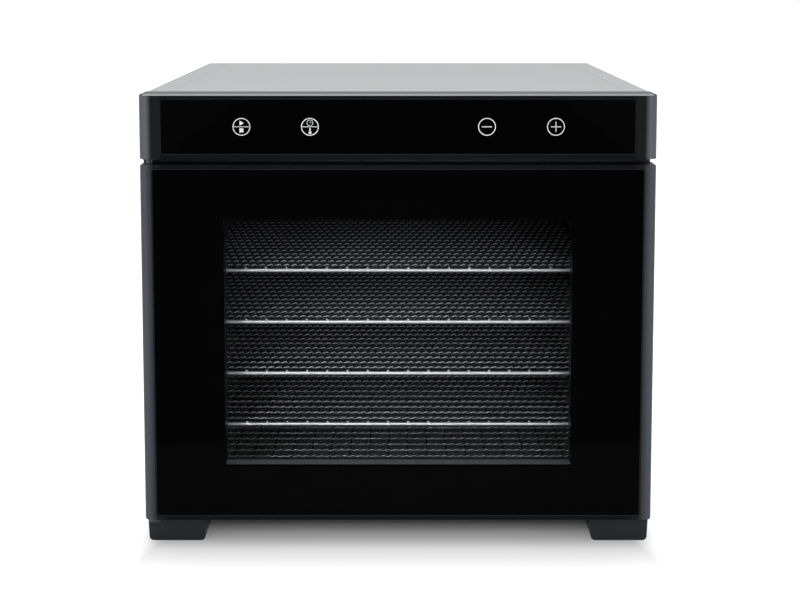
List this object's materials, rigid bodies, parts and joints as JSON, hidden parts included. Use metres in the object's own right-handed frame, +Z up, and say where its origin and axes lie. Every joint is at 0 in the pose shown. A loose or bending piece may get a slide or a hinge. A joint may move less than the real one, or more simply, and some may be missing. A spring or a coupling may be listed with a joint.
{
  "type": "food dehydrator",
  "caption": "Box food dehydrator: sheet casing on feet, touch control housing, left-hinged glass door, sliding wire trays, rear fan and heater.",
  "frame": {"origin": "on the surface it stands on, under the middle of its outline", "axes": "+Z up, -Y out of the door, +X to the right of someone facing the door"},
  "size_m": [0.34, 0.45, 0.305],
  "materials": {
    "casing_steel": "satin silver-grey paint on sheet steel",
    "cavity_enamel": "black heat-proof coating on sheet steel",
    "galvanised_steel": "plain galvanised sheet",
    "dark_plastic": "moulded, fine texture, dark blue-grey",
    "liner_steel": "polished stainless sheet",
    "black_steel": "black coating on steel",
    "black_plastic": "moulded black",
    "door_pane": "tempered glass, printed black round a clear window",
    "control_pane": "glass printed black on its back",
    "inner_pane": "clear tempered glass",
    "tray_wire": "electropolished stainless wire",
    "drip_steel": "stainless sheet",
    "seal_rubber": "silicone, matt",
    "pin_steel": "zinc plated",
    "bush_plastic": "acetal, black",
    "bush_bronze": "sintered bronze",
    "fan_aluminium": "pressed sheet",
    "heater_steel": "heat-tinted tube",
    "core_iron": "laminated stack, varnished",
    "coil_tape": "taped winding",
    "board_laminate": "green laminate",
    "magnet_ferrite": "ferrite"
  },
  "bodies": {
    "cabinet": {"left_side_panel": "casing_steel", "right_side_panel": "casing_steel", "top_panel": "casing_steel", "rear_panel": "casing_steel", "rear_baffle": "cavity_enamel", "cavity_floor": "cavity_enamel", "cavity_ceiling": "cavity_enamel", "base_pan": "galvanised_steel", "fan_housing": "galvanised_steel", "heater_clips": "galvanised_steel", "motor_bridges": "galvanised_steel", "motor_posts": "galvanised_steel", "strike_plates": "galvanised_steel", "control_housing": "dark_plastic", "front_frame": "dark_plastic", "feet": "dark_plastic", "power_inlet": "dark_plastic", "left_liner": "liner_steel", "right_liner": "liner_steel", "lower_hinge_bracket": "black_steel", "display_module": "black_plastic", "board_parts": "black_plastic", "thermal_cutout": "black_plastic", "control_glass": "control_pane", "touch_springs": "pin_steel", "temperature_sensor": "pin_steel", "upper_hinge_bush": "bush_plastic", "motor_bushes": "bush_bronze", "heater_element": "heater_steel", "motor_core": "core_iron", "motor_coil": "coil_tape", "control_board": "board_laminate", "power_board": "board_laminate"},
    "door": {"door_frame": "dark_plastic", "door_glass": "door_pane", "door_inner_glass": "inner_pane", "door_inner_panel": "dark_plastic", "door_seal": "seal_rubber", "door_magnets": "magnet_ferrite", "upper_hinge_pin": "pin_steel", "lower_hinge_bush": "bush_plastic"},
    "sliding_tray_1": {"tray_1": "tray_wire"},
    "sliding_tray_2": {"tray_2": "tray_wire"},
    "sliding_tray_3": {"tray_3": "tray_wire"},
    "sliding_tray_4": {"tray_4": "tray_wire"},
    "sliding_tray_5": {"tray_5": "tray_wire"},
    "sliding_tray_6": {"tray_6": "tray_wire"},
    "sliding_drip_tray": {"drip_tray": "drip_steel"},
    "fan": {"fan_impeller": "fan_aluminium", "motor_shaft": "pin_steel"}
  },
  "joints": [
    {"name": "door_hinge", "type": "hinge", "parent": "cabinet", "child": "door", "pos_m": [-0.164, -0.214, 0.139], "axis": [0, 0, -1], "range_deg": [0, 135]},
    {"name": "tray_1_slide", "type": "slide", "parent": "cabinet", "child": "sliding_tray_1", "axis": [0, -1, 0], "range_m": [0, 0.106]},
    {"name": "tray_2_slide", "type": "slide", "parent": "cabinet", "child": "sliding_tray_2", "axis": [0, -1, 0], "range_m": [0, 0.106]},
    {"name": "tray_3_slide", "type": "slide", "parent": "cabinet", "child": "sliding_tray_3", "axis": [0, -1, 0], "range_m": [0, 0.106]},
    {"name": "tray_4_slide", "type": "slide", "parent": "cabinet", "child": "sliding_tray_4", "axis": [0, -1, 0], "range_m": [0, 0.106]},
    {"name": "tray_5_slide", "type": "slide", "parent": "cabinet", "child": "sliding_tray_5", "axis": [0, -1, 0], "range_m": [0, 0.106]},
    {"name": "tray_6_slide", "type": "slide", "parent": "cabinet", "child": "sliding_tray_6", "axis": [0, -1, 0], "range_m": [0, 0.106]},
    {"name": "drip_tray_slide", "type": "slide", "parent": "cabinet", "child": "sliding_drip_tray", "axis": [0, -1, 0], "range_m": [0, 0.106]},
    {"name": "fan_spin", "type": "hinge", "parent": "cabinet", "child": "fan", "pos_m": [0, 0.15, 0.136], "axis": [0, 1, 0], "continuous": true}
  ],
  "couplings": [
    {"joint": "tray_1_slide", "follows": "door_hinge", "m_per_rad": 0.045},
    {"joint": "tray_2_slide", "follows": "door_hinge", "m_per_rad": 0.045},
    {"joint": "tray_3_slide", "follows": "door_hinge", "m_per_rad": 0.045},
    {"joint": "tray_4_slide", "follows": "door_hinge", "m_per_rad": 0.045},
    {"joint": "tray_5_slide", "follows": "door_hinge", "m_per_rad": 0.045},
    {"joint": "tray_6_slide", "follows": "door_hinge", "m_per_rad": 0.045},
    {"joint": "drip_tray_slide", "follows": "door_hinge", "m_per_rad": 0.045}
  ]
}
